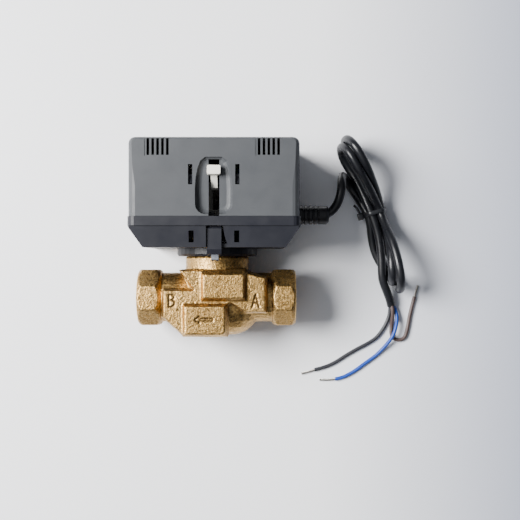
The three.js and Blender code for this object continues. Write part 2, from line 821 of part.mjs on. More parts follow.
// The lead's free run from the strain relief, over its crest and down beside the hank.
const LEAD_ROUTE = [
  [67.3, 50.8, 21.5],
  [68.3, 51.8, 21.8],
  [69.8, 54.2, 22.4],
  [71.1, 57.2, 22.9],
  [71.9, 60.4, 23.1],
  [72.4, 63.6, 22.7],
  [72.7, 66.6, 21.5],
  [73, 69.1, 19.4],
  [73.5, 70.8, 16.6],
  [74.1, 71.3, 14.2],
];

const TAIL_ROUTE = [
  [103.3, -2.4, 4.7],
  [103.8, -4, 4.1],
  [104.3, -5.6, 3.5],
];

const BLACK_ROUTE = [
  [104, -7.2, 2.3],
  [103.2, -12.8, 1.4],
  [100.4, -19.2, 1.2],
  [95.8, -25.4, 1.2],
  [90.8, -28.9, 1.2],
  [85.3, -31.8, 1.2],
  [77.9, -36, 1.2],
  [69.5, -41.2, 1.2],
  [63.8, -43.6, 1.2],
  [58, -45.2, 1.2],
  [50.1, -47.5, 1.2],
];

const BLUE_ROUTE = [
  [107.1, -8.8, 2.7],
  [108, -13.2, 3.2],
  [107.3, -18.2, 4.2],
  [105.4, -24, 4.4],
  [102, -29.2, 3.2],
  [98.6, -33.2, 1.8],
  [95.2, -36.6, 1.2],
  [88.6, -41.4, 1.2],
  [82.2, -46, 1.2],
  [75.9, -49.4, 1.2],
  [70.6, -50.9, 1.2],
  [61.1, -51.2, 1.2],
];

const BROWN_ROUTE = [
  [105.2, -8.6, 4.9],
  [105.3, -12, 4],
  [105, -15.4, 2.6],
  [104.8, -18.6, 1.5],
  [104.7, -22.6, 1.2],
  [105.3, -24.9, 1.2],
  [107, -26.5, 1.2],
  [109.2, -27.1, 1.2],
  [111.5, -26.5, 1.2],
  [113.1, -24.9, 1.2],
  [113.9, -22.6, 1.2],
  [114.9, -18.2, 1.2],
  [116, -12, 1.2],
  [117.6, -5.5, 1.2],
  [118.9, -0.6, 1.2],
  [120.9, 6.2, 1.2],
];

function cordAlong(route, diameter, sides, steps) {
  const curve = new THREE.CatmullRomCurve3(route.map((point) => new THREE.Vector3(...point)));
  const outline = circle(0, 0, diameter / 2, sides);
  const shape = new THREE.Shape(outline.map(([u, v]) => new THREE.Vector2(u, v)));
  return solidOf(new THREE.ExtrudeGeometry(shape, { steps, extrudePath: curve }));
}

// The tied hank's outer form: seen from above and from its side it narrows at the tie.
function leadHank() {
  const half = HANK_LENGTH / 2;
  const plan = [
    ...arc(half - 10, 0, 10, -90, 90, 6),
    [6, 6.9],
    [-6, 6.9],
    ...arc(-half + 10, 0, 10, 90, 270, 6),
    [-24, -7.2],
    [-6, -6.9],
    [6, -6.9],
  ];
  const side = [
    [-half, 0],
    [-14, 0],
    [-6, 1.5],
    [6, 1.5],
    [14, 0],
    [half, 0],
    [half, 22],
    [half - 7, 30.5],
    [half - 20, 31],
    [6, 14.2],
    [-6, 14.2],
    [20 - half, 31],
    [7 - half, 30.5],
    [-half, 22],
  ];
  const flat = prism("z", plan, 0, 32);
  const upright = rotated(prism("z", side, -15, 15), "x", 90);
  return common(flat, upright).warp((point) => {
    point[1] += HANK_BOW - HANK_BOW_FALL * point[0] ** 2;
  });
}

function cableTie() {
  const band = prism("x", roundedRectangle([-8.2, 8.2], [0.2, 15.5], 2.5), -1.3, 1.3);
  const hole = prism("x", roundedRectangle([-7.2, 7.2], [1.2, 14.5], 0.3, 1), -2, 2);
  const head = box([-2.2, 2.2], [-11.8, -8], [5, 9]);
  return join(cut(band, hole), head).translate([0, HANK_BOW, 0]);
}

// ---------------------------------------------------------------- scene graph

const valve = groupAt(assembly, 0, 0, STEM_Z);
add(valve, "valve_body", valveBody(), brass);
add(valve, "cartridge_cage", cartridgeCage(), cageGrey);
add(valve, "cage_seal", cageSeal(), blackRubber);
add(valve, "bonnet_nut", bonnetNut(), brass);
add(valve, "stem_seal", stemSeal(), blackRubber);
add(valve, "valve_stem", stem(), steel);
add(valve, "piston", piston(), gearWhite);
add(valve, "piston_seal", pistonSeal(), blackRubber);

const actuator = groupAt(assembly, 0, 0, 0);
add(actuator, "cover", cover(), coverGrey);
add(actuator, "base", base(), baseSlate);
add(actuator, "latch_housing", latchHousing(), baseSlate);
add(actuator, "lock_tongue", lockTongue(), steel);
add(actuator, "guide_bridge", guideBridge(), gearWhite);
add(actuator, "circuit_board", circuitBoard(), boardGreen);
add(actuator, "relay", relay(), relayBlue);
add(actuator, "terminal_block", terminalBlock(), boardGreen);
add(groupAt(actuator, 33.2, 66, 0), "capacitor", capacitor(), partBlack);

const stemAxis = groupAt(actuator, 0, 0, STEM_Z);
add(stemAxis, "bayonet_collar", bayonetCollar(), baseSlate);
add(stemAxis, "collar_clip", collarClip(), steel);
add(stemAxis, "stem_carriage", stemCarriage(), leverWhite);

const pivot = groupAt(actuator, 0, PIVOT.y, PIVOT.z);
const arm = add(pivot, "drive_arm", driveArm(), leverWhite);
arm.rotation.x = -degrees(ARM_REST_DEG);
add(pivot, "pivot_pin", pivotPin(), steel);

const thirdAxis = groupAt(actuator, 0, THIRD_AXIS.y, THIRD_AXIS.z);
add(thirdAxis, "third_gear", thirdGear(), gearWhite);
add(thirdAxis, "third_gear_shaft", gearShaft(), steel);

const secondAxis = groupAt(actuator, 0, SECOND_AXIS.y, SECOND_AXIS.z);
add(secondAxis, "second_gear", secondGear(), gearWhite);
add(secondAxis, "second_gear_shaft", gearShaft(), steel);

const motorAxis = groupAt(actuator, 0, MOTOR_AXIS.y, MOTOR_AXIS.z);
add(motorAxis, "motor_pinion", motorPinion(), steel);
add(motorAxis, "motor_rotor", motorRotor(), magnetGrey);
add(motorAxis, "motor_coil", motorCoil(), copper);
add(motorAxis, "motor_can", motorCan(), steel);
add(motorAxis, "motor_cap", motorCap(), steel);

add(actuator, "motor_plate", motorPlate(), steel);
add(actuator, "gear_plate", gearPlate(), steel);
POSTS.forEach(({ y, z }, i) => {
  add(groupAt(actuator, 0, y, z), "plate_post_" + (i + 1), platePost(), steel);
});

add(groupAt(actuator, 0, 73.15, 40.4), "end_switch_up", endSwitch(-1), partBlack);
add(groupAt(actuator, 0, 44.85, 40.4), "end_switch_down", endSwitch(1), partBlack);

const lead = groupAt(actuator, 0, GLAND.y, GLAND.z);
add(lead, "cable_gland", cableGland(), blackRubber);
add(lead, "inner_lead", innerLead(), blackRubber);

add(actuator, "lead_run", cordAlong(LEAD_ROUTE, LEAD_DIAMETER, 10, 20), blackRubber);
add(actuator, "lead_tail", cordAlong(TAIL_ROUTE, LEAD_DIAMETER, 10, 3), blackRubber);
add(actuator, "core_black", cordAlong(BLACK_ROUTE, CORE_DIAMETER, 8, 18), blackRubber);
add(actuator, "core_blue", cordAlong(BLUE_ROUTE, CORE_DIAMETER, 8, 18), blueCore);
add(actuator, "core_brown", cordAlong(BROWN_ROUTE, CORE_DIAMETER, 8, 24), brownCore);

const hank = groupAt(actuator, HANK_CENTRE.x, HANK_CENTRE.y, 0);
hank.rotation.z = degrees(HANK_ANGLE_DEG);
add(hank, "lead_hank", leadHank(), blackRubber);
add(hank, "cable_tie", cableTie(), partBlack);

export default assembly;
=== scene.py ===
"""A motorized valve actuator on its cast brass valve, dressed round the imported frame."""

import math

import bmesh
import bpy
import numpy as np
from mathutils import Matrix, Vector, noise

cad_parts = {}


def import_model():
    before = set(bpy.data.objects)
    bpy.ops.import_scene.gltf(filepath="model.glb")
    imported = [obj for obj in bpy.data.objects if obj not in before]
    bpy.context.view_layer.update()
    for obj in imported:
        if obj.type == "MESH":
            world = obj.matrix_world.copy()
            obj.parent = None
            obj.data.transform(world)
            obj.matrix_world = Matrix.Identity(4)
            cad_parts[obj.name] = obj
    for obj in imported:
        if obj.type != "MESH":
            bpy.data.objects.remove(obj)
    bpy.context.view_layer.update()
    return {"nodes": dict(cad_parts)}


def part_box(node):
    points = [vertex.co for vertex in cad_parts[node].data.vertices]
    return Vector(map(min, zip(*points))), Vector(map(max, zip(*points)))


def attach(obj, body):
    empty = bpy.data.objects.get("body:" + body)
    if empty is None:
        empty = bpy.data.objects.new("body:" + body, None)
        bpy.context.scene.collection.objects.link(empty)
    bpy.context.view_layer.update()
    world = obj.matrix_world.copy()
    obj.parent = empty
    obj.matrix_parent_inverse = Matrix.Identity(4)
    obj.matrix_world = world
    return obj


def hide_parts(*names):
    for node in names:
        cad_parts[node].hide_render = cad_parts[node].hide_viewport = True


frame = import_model()

MM = 0.001
ORIGIN_Y = 33.0  # the frame's origin is this far up the stem from the pipe's axis
STEM_Z = 23.5  # height of the pipe and stem axes


def at(x, y, z):
    """A point given from the pipe's axis in millimetres, in the frame in metres."""
    return (x * MM, (y - ORIGIN_Y) * MM, z * MM)


# ---------------------------------------------------------------- camera

camera_data = bpy.data.cameras.new("camera")
camera_data.lens = 62.2
camera_data.sensor_width = 36
camera = bpy.data.objects.new("camera", camera_data)
camera.location = (0.0249, -0.0114, 0.548)
bpy.context.scene.collection.objects.link(camera)
bpy.context.scene.camera = camera


# ---------------------------------------------------------------- node materials


class Nodes:
    """A short way to write a node tree: add(kind, inputs) and link by passing a socket."""

    def __init__(self, name):
        self.material = bpy.data.materials.new(name)
        self.material.use_nodes = True
        self.tree = self.material.node_tree
        self.shader = self.tree.nodes["Principled BSDF"]
        self.place = self.add("ShaderNodeTexCoord").outputs["Object"]

    def add(self, kind, inputs=(), **settings):
        node = self.tree.nodes.new(kind)
        for key, value in settings.items():
            setattr(node, key, value)
        for key, value in dict(inputs).items():
            self.put(node.inputs[key], value)
        return node

    def put(self, socket, value):
        if isinstance(value, bpy.types.NodeSocket):
            self.tree.links.new(value, socket)
        else:
            socket.default_value = value

    def set(self, **values):
        for key, value in values.items():
            self.put(self.shader.inputs[key.replace("_", " ")], value)

    def noise(self, scale, detail=3.0, rough=0.5, vector=None):
        inputs = {"Vector": vector or self.place, "Scale": scale, "Detail": detail, "Roughness": rough}
        return self.add("ShaderNodeTexNoise", inputs).outputs["Fac"]

    def ramp(self, value, *stops):
        node = self.add("ShaderNodeValToRGB", {"Fac": value})
        points = node.color_ramp.elements
        while len(points) < len(stops):
            points.new(0.5)
        for point, (position, colour) in zip(points, stops):
            point.position = position
            point.color = colour if len(colour) == 4 else (*colour, 1)
        return node.outputs["Color"]

    def range(self, value, low, high, start=0.3, end=0.7):
        inputs = {"Value": value, "From Min": start, "From Max": end, "To Min": low, "To Max": high}
        return self.add("ShaderNodeMapRange", inputs).outputs["Result"]

    def mix(self, factor, first, second):
        node = self.add("ShaderNodeMix", data_type="RGBA", blend_type="MIX")
        self.put(node.inputs[0], factor)
        self.put(node.inputs[6], first)
        self.put(node.inputs[7], second)
        return node.outputs[2]

    def math(self, operation, *values):
        node = self.add("ShaderNodeMath", operation=operation)
        for socket, value in zip(node.inputs, values):
            self.put(socket, value)
        return node.outputs[0]

    def bump(self, height, distance, strength=1.0, normal=None):
        inputs = {"Height": height, "Distance": distance, "Strength": strength}
        if normal:
            inputs["Normal"] = normal
        return self.add("ShaderNodeBump", inputs).outputs["Normal"]

    def stretched(self, scale):
        mapping = self.add("ShaderNodeMapping", {"Vector": self.place, "Scale": scale})
        return mapping.outputs["Vector"]


def srgb(red, green, blue):
    def linear(value):
        value /= 255
        return value / 12.92 if value <= 0.04045 else ((value + 0.055) / 1.055) ** 2.4

    return (linear(red), linear(green), linear(blue), 1)


def shade(colour, factor):
    return (colour[0] * factor, colour[1] * factor, colour[2] * factor, 1)


def moulded(name, colour, roughness=0.45, grain=0.02, grain_scale=2600, specular=0.5):
    """Moulded plastic: a spark-eroded grain, faint flow marks and handling sheen."""
    n = Nodes(name)
    cloud = n.noise(38, 4, 0.6)
    mottle = n.noise(420, 3, 0.6)
    base = n.ramp(cloud, (0.3, shade(colour, 0.93)), (0.7, shade(colour, 1.06)))
    base = n.mix(n.range(mottle, 0.0, 0.16), base, shade(colour, 0.82))
    fine = n.noise(grain_scale, 2, 0.6)
    sheen = n.noise(90, 3, 0.6)
    first = n.bump(fine, grain * MM, 0.8)
    n.set(
        Base_Color=base,
        Roughness=n.range(sheen, roughness - 0.07, roughness + 0.08),
        Normal=n.bump(n.noise(160, 2, 0.5), 0.03 * MM, 0.5, first),
        Specular_IOR_Level=specular,
    )
    return n.material


def cast_brass():
    """Sand-cast brass: bright grains, warm patches and dark specks, with painted shade in the pits and along
    the cast letters' grooves.
    """
    n = Nodes("cast_brass")
    patches = n.noise(55, 4, 0.6)
    grain = n.add("ShaderNodeTexVoronoi", {"Vector": n.place, "Scale": 1250.0}).outputs["Distance"]
    speck = n.noise(1500, 3, 0.7)
    colour = n.ramp(
        patches,
        (0.3, srgb(162, 126, 70)),
        (0.55, srgb(186, 148, 86)),
        (0.75, srgb(201, 162, 99)),
    )
    colour = n.mix(n.range(speck, 0.0, 0.7, 0.5, 0.7), colour, srgb(240, 210, 152))
    colour = n.mix(n.range(n.noise(800, 4, 0.7), 0.6, 0.0, 0.36, 0.5), colour, srgb(100, 72, 40))
    groove_shade = n.add("ShaderNodeAttribute", attribute_name="groove_and_shade").outputs["Fac"]
    pit_shade = n.add("ShaderNodeAttribute", attribute_name="pit_shade").outputs["Fac"]
    # painted shade in the pits
    colour = n.mix(n.math("MULTIPLY", pit_shade, 0.7), colour, srgb(70, 54, 38))
    # painted shade along the grooves of the cast letters and arrow
    colour = n.mix(n.math("MULTIPLY", groove_shade, 0.85), colour, srgb(58, 40, 22))
    height = n.math("ADD", n.math("MULTIPLY", grain, 0.8), speck)
    n.set(
        Base_Color=colour,
        Metallic=1.0,
        Roughness=n.range(n.noise(600, 3, 0.6), 0.3, 0.5),
        Normal=n.bump(height, 0.16 * MM, 0.8),
    )
    return n.material


def machined(name, colour, axis_scale, roughness=0.24, rings=0.012):
    """Turned or brushed metal: fine lines along one direction and small stains."""
    n = Nodes(name)
    lines = n.noise(1.0, 4, 0.7, n.stretched(axis_scale))
    stain = n.noise(70, 4, 0.6)
    base = n.ramp(stain, (0.32, shade(colour, 0.84)), (0.7, colour))
    n.set(
        Base_Color=n.mix(n.range(lines, 0.0, 0.2), base, shade(colour, 0.7)),
        Metallic=1.0,
        Roughness=n.range(lines, roughness - 0.06, roughness + 0.14),
        Normal=n.bump(lines, rings * MM, 0.7),
    )
    return n.material


def sheath(name, colour, roughness=0.26, dust_and_sheen_colour=None):
    """PVC sheath: slightly glossy, with lighter patches that are partly dust and partly painted sheen, soft
    scuffs and a fine drawn texture.
    """
    n = Nodes(name)
    dust_and_sheen = n.noise(150, 4, 0.65)
    # lighter patches: partly dust, partly painted sheen
    base = n.mix(n.range(dust_and_sheen, 0.0, 0.22, 0.45, 0.75), colour, dust_and_sheen_colour or shade(colour, 2.4))
    fine = n.noise(900, 2, 0.5)
    n.set(
        Base_Color=base,
        Roughness=n.range(n.noise(240, 3, 0.6), roughness - 0.05, roughness + 0.13),
        Normal=n.bump(fine, 0.03 * MM, 0.35),
        Specular_IOR_Level=0.42,
    )
    return n.material


def board():
    """Circuit board: solder mask with tracks under it and a faint weave."""
    n = Nodes("board_green")
    brick = n.add(
        "ShaderNodeTexBrick",
        {
            "Vector": n.stretched((260, 170, 1)),
            "Color1": srgb(36, 104, 66),
            "Color2": srgb(30, 92, 58),
            "Mortar": srgb(70, 140, 88),
            "Scale": 1.0,
            "Mortar Size": 0.03,
        },
    )
    weave = n.noise(2200, 2, 0.5)
    n.set(
        Base_Color=n.mix(n.range(n.noise(80, 3), 0, 0.3), brick.outputs["Color"], srgb(24, 78, 48)),
        Roughness=n.range(weave, 0.28, 0.42),
        Normal=n.bump(weave, 0.02 * MM, 0.6),
    )
    return n.material


BRASS_TURNED = srgb(236, 190, 112)
MATERIALS = {
    "cover_grey": moulded("cover_grey", srgb(67, 69, 72), 0.45, 0.022, specular=0.35),
    "base_slate": moulded("base_slate", srgb(24, 25, 32), 0.42, 0.02, specular=0.35),
    "collar_slate": moulded("collar_slate", srgb(36, 36, 41), 0.42, 0.015, specular=0.35),
    "cast_brass": cast_brass(),
    "turned_brass": machined("turned_brass", BRASS_TURNED, (260, 5200, 260)),
    "steel": machined("steel", srgb(198, 201, 206), (900, 900, 5200), 0.26),
    "bright_steel": machined("bright_steel", srgb(222, 226, 232), (700, 5200, 700), 0.2),
    "lever_white": moulded("lever_white", srgb(231, 228, 217), 0.4, 0.012, 1800),
    "gear_white": moulded("gear_white", srgb(234, 231, 220), 0.42, 0.01, 2200),
    "cage_grey": moulded("cage_grey", srgb(84, 87, 94), 0.45, 0.015),
    "black_rubber": sheath("black_rubber", srgb(22, 23, 27), 0.3, srgb(31, 33, 38)),
    "seal_rubber": sheath("seal_rubber", srgb(26, 26, 28), 0.5),
    "black_plastic": moulded("black_plastic", srgb(32, 33, 37), 0.36, 0.015),
    "black_core": sheath("black_core", srgb(44, 45, 50), 0.36),
    "blue_core": sheath("blue_core", srgb(24, 62, 150), 0.38, srgb(44, 86, 176)),
    "brown_core": sheath("brown_core", srgb(74, 60, 57), 0.42, srgb(104, 90, 86)),
    "tinned": machined("tinned", srgb(196, 192, 186), (3200, 3200, 3200), 0.3),
    "winding": machined("winding", srgb(196, 116, 66), (5200, 300, 300), 0.3, 0.03),
    "board_green": board(),
    "relay_blue": moulded("relay_blue", srgb(44, 82, 160), 0.34, 0.01),
    "magnet_grey": moulded("magnet_grey", srgb(56, 58, 62), 0.5, 0.03, 1400),
}


# ---------------------------------------------------------------- helpers for pieces


def piece(name, mesh, material, body, replaces=(), smooth=40):
    """Links a mesh as a piece that rides on a body."""
    thing = bpy.data.objects.new(name, mesh)
    bpy.context.scene.collection.objects.link(thing)
    mesh.materials.clear()
    mesh.materials.append(MATERIALS[material])
    soften(mesh, smooth)
    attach(thing, body)
    if replaces:
        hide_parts(*replaces)
    return thing


def soften(mesh, angle):
    """Smooth shading up to an angle between faces."""
    for polygon in mesh.polygons:
        polygon.use_smooth = True
    mesh.set_sharp_from_angle(angle=math.radians(angle))


def mesh_of(name, points, faces):
    mesh = bpy.data.meshes.new(name)
    mesh.from_pydata([tuple(map(float, point)) for point in points], [], faces)
    mesh.update()
    return mesh


def along(points):
    """Distance along a line of points at each of them."""
    steps = np.linalg.norm(np.diff(points, axis=0), axis=1)
    return np.concatenate([[0], np.cumsum(steps)])


def resampled(points, step):
    """The same line with points about step apart."""
    length = along(points)
    wanted = np.linspace(0, length[-1], max(3, int(round(length[-1] / step)) + 1))
    return np.stack([np.interp(wanted, length, points[:, k]) for k in range(3)], axis=1)


def smooth_line(points, per_span=8):
    """A centripetal Catmull-Rom line through the points."""
    p = np.vstack([2 * points[0] - points[1], points, 2 * points[-1] - points[-2]])
    out = []
    for a, b, c, d in zip(p, p[1:], p[2:], p[3:]):
        spans = [max(np.linalg.norm(y - x), 1e-9) ** 0.5 for x, y in ((a, b), (b, c), (c, d))]
        t0, t1, t2, t3 = np.cumsum([0] + spans)
        for t in np.linspace(t1, t2, per_span, endpoint=False):
            ab = ((t1 - t) * a + (t - t0) * b) / (t1 - t0)
            bc = ((t2 - t) * b + (t - t1) * c) / (t2 - t1)
            cd = ((t3 - t) * c + (t - t2) * d) / (t3 - t2)
            abc = ((t2 - t) * ab + (t - t0) * bc) / (t2 - t0)
            bcd = ((t3 - t) * bc + (t - t1) * cd) / (t3 - t1)
            out.append(((t2 - t) * abc + (t - t1) * bcd) / (t2 - t1))
    out.append(points[-1])
    return np.array(out)


def frames_along(points):
    """A direction and two normals at each point, turned as little as possible on the way."""
    tangents = np.gradient(points, axis=0)
    tangents /= np.linalg.norm(tangents, axis=1)[:, None]
    side = np.cross(tangents[0], (0, 0, 1))
    if np.linalg.norm(side) < 0.1:
        side = np.cross(tangents[0], (0, 1, 0))
    sides = []
    for tangent in tangents:
        side = side - tangent * side.dot(tangent)
        side /= np.linalg.norm(side)
        sides.append(side)
    sides = np.array(sides)
    return tangents, sides, np.cross(tangents, sides)


def tube(name, points, radii, sides=20):
    """A tube of varying radius along a line, with capped ends."""
    radii = np.broadcast_to(radii, len(points))
    _, across, up = frames_along(points)
    rings = []
    for point, radius, a, b in zip(points, radii, across, up):
        for k in range(sides):
            angle = 2 * math.pi * k / sides
            rings.append(point + radius * (math.cos(angle) * a + math.sin(angle) * b))
    faces = []
    for i in range(len(points) - 1):
        for k in range(sides):
            j = (k + 1) % sides
            faces.append((i * sides + k, i * sides + j, (i + 1) * sides + j, (i + 1) * sides + k))
    last = (len(points) - 1) * sides
    faces.append(tuple(reversed(range(sides))))
    faces.append(tuple(range(last, last + sides)))
    return mesh_of(name, rings, faces)


# ---------------------------------------------------------------- cords

SHEATH = 5.0  # diameters in millimetres
CORE = 2.2
STRAND = 0.4
CREST = 11.4  # radius of the loop in which the lead comes down to the hank
HANK_ANGLE = math.radians(-74)
HANK_ALONG = np.array([math.cos(HANK_ANGLE), math.sin(HANK_ANGLE), 0])
HANK_ACROSS = np.array([-math.sin(HANK_ANGLE), math.cos(HANK_ANGLE), 0])
HANK_CENTRE = np.array([92.6, 48.5, 0])
HANK_BOW = (1.7, 0.0021)  # the middle lies this far across, and the ends fall back with the square


def in_hank(u, v, z):
    """A point by its place along the bowed hank, across it and up."""
    bow = HANK_BOW[0] - HANK_BOW[1] * u * u
    return HANK_CENTRE + u * HANK_ALONG + (v + bow) * HANK_ACROSS + np.array([0, 0, z])


def fold(centre, radius, low, high, side, start, end, count=13):
    """One fold of the hank: a leaning loop from one leg over its end to the other."""
    points = []
    for i in range(count):
        angle = math.radians(start + (end - start) * i / (count - 1))
        share = (1 + math.sin(angle)) / 2
        u = centre[0] + side * radius * math.cos(angle)
        points.append(in_hank(u, low + (high - low) * share, centre[1] + radius * math.sin(angle)))
    return points


def run(*places):
    return [in_hank(*place) for place in places]


def sheath_points():
    """The lead from its strain relief, over its crest, through five runs and out to the split."""
    rise = ((62.6, 48.05, 21), (66.2, 49.6, 21.2), (68.7, 52, 21.6), (70.3, 55.2, 22.4), (71.6, 59, 23.4))
    points = [np.array(p) for p in rise]
    for i in range(13):
        angle = math.radians(78 - 156 * i / 12)
        lift = CREST * math.sin(angle)
        points.append(in_hank(-16.6 - CREST * math.cos(angle), -11.6 - 0.36 * lift, 14.1 + 0.933 * lift))
    points += run((-8, -6.4, 3.6), (0, -4.09, 6.72), (7, -4.9, 4.6))
    points += run((14, -5.4, 2.9), (21, -5.6, 2.5), (28, -4.0, 2.5))
    points += fold((30.4, 14.3), 11.8, 0.2, 0.6, 1, -72, 66)
    points += run((19, 2.8, 19.2), (9, 3.6, 10.6), (0, 4.09, 6.72), (-9, 4.0, 10.8), (-20, 2.6, 19.2))
    points += fold((-33.8, 16.2), 13.9, -3.0, 1.0, -1, 66, -72)
    points += run((-20, 0.2, 2.5), (-9, 0.2, 2.9), (0, 0, 3.75), (9, 1.2, 2.9), (19, 3.0, 2.5))
    points += fold((33.2, 16.4), 13.9, 4.8, 5.0, 1, -78, 62)
    points += run((19, 3.8, 23.6), (9, 2.8, 15.4), (0, 2.53, 11.53), (-9, 1.4, 14.8), (-19, -0.6, 21.6))
    points += fold((-31.8, 16.2), 12.6, -6.4, -3.6, -1, 62, -66)
    points += run((-17, -4.3, 8.8), (-8, -3.2, 11.0), (0, -2.53, 11.53), (8, -1.8, 11.2), (17, -2.0, 10.9))
    points += run((26, -2.3, 10.4), (34, -2.0, 9.6), (42, -1.5, 8.2))
    points += [np.array(p) for p in ((103.3, -1.7, 5.0), (103.8, -3.8, 4.2), (104.4, -6.0, 3.4))]
    return np.array(points)


def settled(line, rounds=900, apart=SHEATH + 0.06, floor=SHEATH / 2):
    """Lets the line find even bends while its turns stay a diameter apart and on the surface."""
    home = line.copy()
    line = line.copy()
    index = np.arange(len(line))
    far_along = np.abs(index[:, None] - index[None]) > int(14 / np.linalg.norm(line[1] - line[0]))
    held = np.where(np.abs((home - HANK_CENTRE) @ HANK_ALONG) < 3.0, 0.12, 0.003)[:, None]
    free = slice(2, -2)
    for _ in range(rounds):
        bend = np.zeros_like(line)
        bend[1:-1] = line[:-2] + line[2:] - 2 * line[1:-1]
        even = np.zeros_like(line)
        even[2:-2] = 2 * bend[2:-2] - bend[1:-3] - bend[3:-1]
        line[free] += (0.11 * even + held * (home - line))[free]
        gaps = line[:, None] - line[None]
        size = np.linalg.norm(gaps, axis=2)
        touching = (size < apart) & far_along
        push = np.where(touching, (apart - size) / 2 / np.maximum(size, 1e-6), 0)[:, :, None] * gaps
        line[free] += 0.5 * push.sum(axis=1)[free]
        line[:, 2] = np.maximum(line[:, 2], floor)
    return line


def placed(points):
    return np.array([at(*point) for point in points])


def cord_piece(name, points, diameter, material, slot, replaces, sides=24, **facts):
    """A cord as a mesh tube along its line."""
    line = placed(points)
    thing = piece(name, tube(name, line, diameter / 2 * MM, sides), material, "actuator", replaces, 60)
    return thing


def bare_end(name, points, body="actuator"):
    """Seven twisted strands of bare conductor past the insulation's end."""
    line = resampled(smooth_line(np.array(points, float)), 0.35)
    _, across, up = frames_along(line)
    length = along(line)
    vertices, faces = [], []
    for strand in range(7):
        reach = 0.0 if strand == 6 else 0.46
        phase = 2 * math.pi * strand / 6
        angle = phase + length * 0.9
        spread = reach * (1 + 0.25 * (length / length[-1]) ** 2)
        centre = line + (np.cos(angle) * spread)[:, None] * across + (np.sin(angle) * spread)[:, None] * up
        made = tube("strand", placed(centre), STRAND / 2 * MM, 7)
        start = len(vertices)
        vertices += [tuple(v.co) for v in made.vertices]
        faces += [tuple(start + i for i in p.vertices) for p in made.polygons]
        bpy.data.meshes.remove(made)
    return piece(name, mesh_of(name, vertices, faces), "tinned", body, smooth=60)


sheath_line = resampled(smooth_line(settled(resampled(smooth_line(sheath_points()), 2.5)), 4), 1.1)

# Each core: material, slot, insulated route and bare tip, in millimetres from the pipe's axis.
CORES = {
    "core_black": (
        "black_core",
        "black_rubber",
        [(103.7, -5.6, 2.6), (103.9, -7.6, 2.2), (103.2, -12.8, 1.5), (100.4, -19.2, 1.2),
         (95.8, -25.4, 1.2),
         (90.8, -28.9, 1.2), (85.3, -31.8, 1.2), (77.9, -36, 1.2), (69.5, -41.2, 1.2), (63.8, -43.6, 1.2),
         (58, -45.2, 1.2)],
        [(58.4, -45.1, 1.2), (54, -46.5, 1.1), (50.1, -47.5, 1.0)],
    ),
    "core_blue": (
        "blue_core",
        "blue_core",
        [(105.5, -5.9, 2.9), (106.9, -8.4, 2.7), (107.9, -13.2, 3.2), (107.3, -18.2, 4.2), (105.4, -24, 4.4),
         (102.0, -29.2, 3.2), (98.6, -33.2, 1.8), (95.2, -36.6, 1.2), (88.6, -41.4, 1.2), (82.2, -46, 1.2),
         (75.9, -49.4, 1.2), (70.6, -50.9, 1.2)],
        [(71, -50.8, 1.2), (66, -51.3, 1.1), (61.1, -51.2, 1.0)],
    ),
    "core_brown": (
        "brown_core",
        "brown_core",
        [(104.5, -5.8, 4.9), (105, -8.6, 4.9), (105.2, -12, 4), (105, -15.4, 2.6), (104.8, -18.6, 1.5),
         (104.7, -22.6, 1.2), (105.3, -24.9, 1.2), (107, -26.5, 1.2), (109.2, -27.1, 1.2),
         (111.5, -26.5, 1.2), (113.1, -24.9, 1.2), (113.9, -22.6, 1.2), (114.9, -18.2, 1.2), (116, -12, 1.2),
         (117.6, -5.5, 1.2), (118.9, -0.6, 1.2)],
        [(118.8, -1, 1.2), (120, 3.2, 1.1), (120.9, 6.2, 1.0)],
    ),
}


SLIT_STARTS = (5.4, 8.2, 11.0, 13.8)
SLIT_WIDTH = 0.9
SLIT_RADIUS = 5.0
BLOCK_END = 19.4


def strain_relief():
    """The moulded strain relief: a neck in the wall, four slits and a plain chamfered end block."""
    route = [(44.4, 48, 21), (52, 48, 21), (60, 47.95, 21), (65.2, 47.9, 21)]
    path = resampled(smooth_line(np.array(route, float), 12), 0.15)
    reach = along(path)
    radii = np.full(len(path), 4.2)
    radii[reach > 2.9] = 5.6
    for start in SLIT_STARTS:
        radii[reach > start + SLIT_WIDTH] -= 0.04
        radii[(reach > start) & (reach < start + SLIT_WIDTH)] = SLIT_RADIUS
    end = reach > BLOCK_END
    radii[end] = np.interp(reach[end], [BLOCK_END, 20.5, reach[-1]], [5.4, 4.4, 3.7])
    radii = np.convolve(np.pad(radii, 1, mode="edge"), [0.2, 0.6, 0.2], mode="valid")
    return tube("strain_relief", placed(path), radii * MM, 36)


RUNS_AT_TIE = ((-4.09, 6.72), (4.09, 6.72), (0, 3.75), (2.53, 11.53), (-2.53, 11.53))
TIE_HEIGHT = 8.05  # the middle of the five runs, above the surface
TIE_OFFSET = -1.2  # the band's place along the hank
TIE_POINTS = 48


def tie_outline(grow):
    """The band's line round the five runs, seen along the hank."""
    outline = []
    for i in range(TIE_POINTS):
        angle = 2 * math.pi * i / TIE_POINTS
        direction = (math.cos(angle), math.sin(angle))
        reach = max(v * direction[0] + (z - TIE_HEIGHT) * direction[1] for v, z in RUNS_AT_TIE)
        outline.append((direction, reach + SHEATH / 2 + grow))
    points = []
    for i, (d, h) in enumerate(outline):
        e, g = outline[(i + 1) % TIE_POINTS]
        turn = d[0] * e[1] - d[1] * e[0]
        points.append(((h * e[1] - g * d[1]) / turn, (g * d[0] - h * e[0]) / turn + TIE_HEIGHT))
    return points


